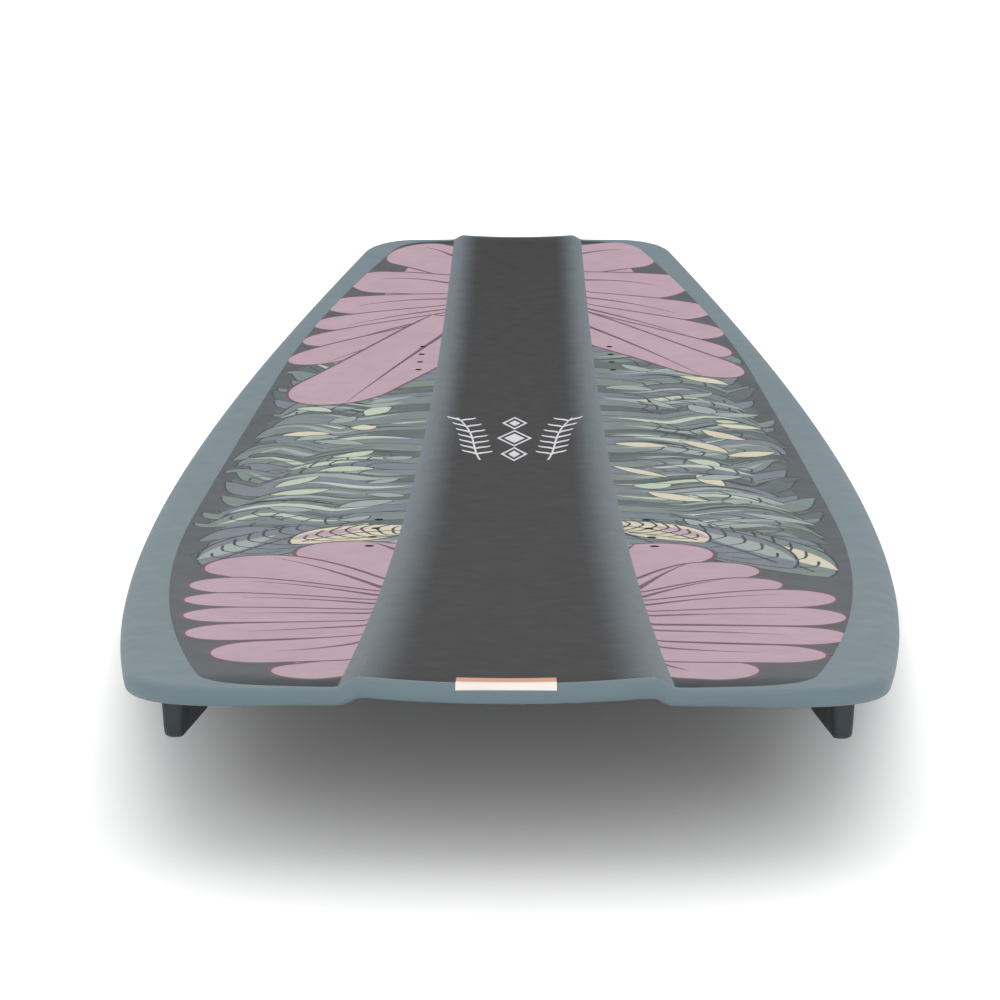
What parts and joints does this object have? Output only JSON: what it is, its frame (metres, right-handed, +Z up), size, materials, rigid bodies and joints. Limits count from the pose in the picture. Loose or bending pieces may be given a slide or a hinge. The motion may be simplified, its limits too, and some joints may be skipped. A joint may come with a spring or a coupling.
{
  "type": "wakeboard",
  "caption": "Twin-tip wakeboard with a raised spine, moulded rail, four small fins and threaded binding inserts; it is ridden behind a boat.",
  "frame": {"origin": "on the base at the middle of the board, its lowest point, where it rests on a floor", "axes": "+X across the board to the right, +Y along the board towards the nose, +Z up out of the deck"},
  "size_m": [0.436, 1.35, 0.08],
  "materials": {
    "foam_core": "closed-cell foam, fine cut surface",
    "glass_laminate": "cured glass cloth",
    "deck_print": "satin printed sheet, charcoal with pink petals and grey-green leaves",
    "base_print": "satin charcoal sheet",
    "rail_urethane": "matt teal-grey moulding",
    "insert_brass": "turned",
    "block_composite": "dense compressed composite, machined",
    "fin_nylon": "moulded, fine grain",
    "screw_steel": "stainless, turned",
    "label_film": "printed film"
  },
  "bodies": {
    "root": {"foam_core": "foam_core", "upper_glass": "glass_laminate", "lower_glass": "glass_laminate", "deck_sheet": "deck_print", "base_sheet": "base_print", "rail_left": "rail_urethane", "rail_right": "rail_urethane", "deck_label": "label_film", "binding_inserts_tail_left": "insert_brass", "insert_block_tail_left": "block_composite", "fin_tail_left": "fin_nylon", "fin_nuts_tail_left": "insert_brass", "fin_screws_tail_left": "screw_steel", "binding_inserts_tail_right": "insert_brass", "insert_block_tail_right": "block_composite", "fin_tail_right": "fin_nylon", "fin_nuts_tail_right": "insert_brass", "fin_screws_tail_right": "screw_steel", "binding_inserts_nose_left": "insert_brass", "insert_block_nose_left": "block_composite", "fin_nose_left": "fin_nylon", "fin_nuts_nose_left": "insert_brass", "fin_screws_nose_left": "screw_steel", "binding_inserts_nose_right": "insert_brass", "insert_block_nose_right": "block_composite", "fin_nose_right": "fin_nylon", "fin_nuts_nose_right": "insert_brass", "fin_screws_nose_right": "screw_steel"}
  },
  "joints": []
}
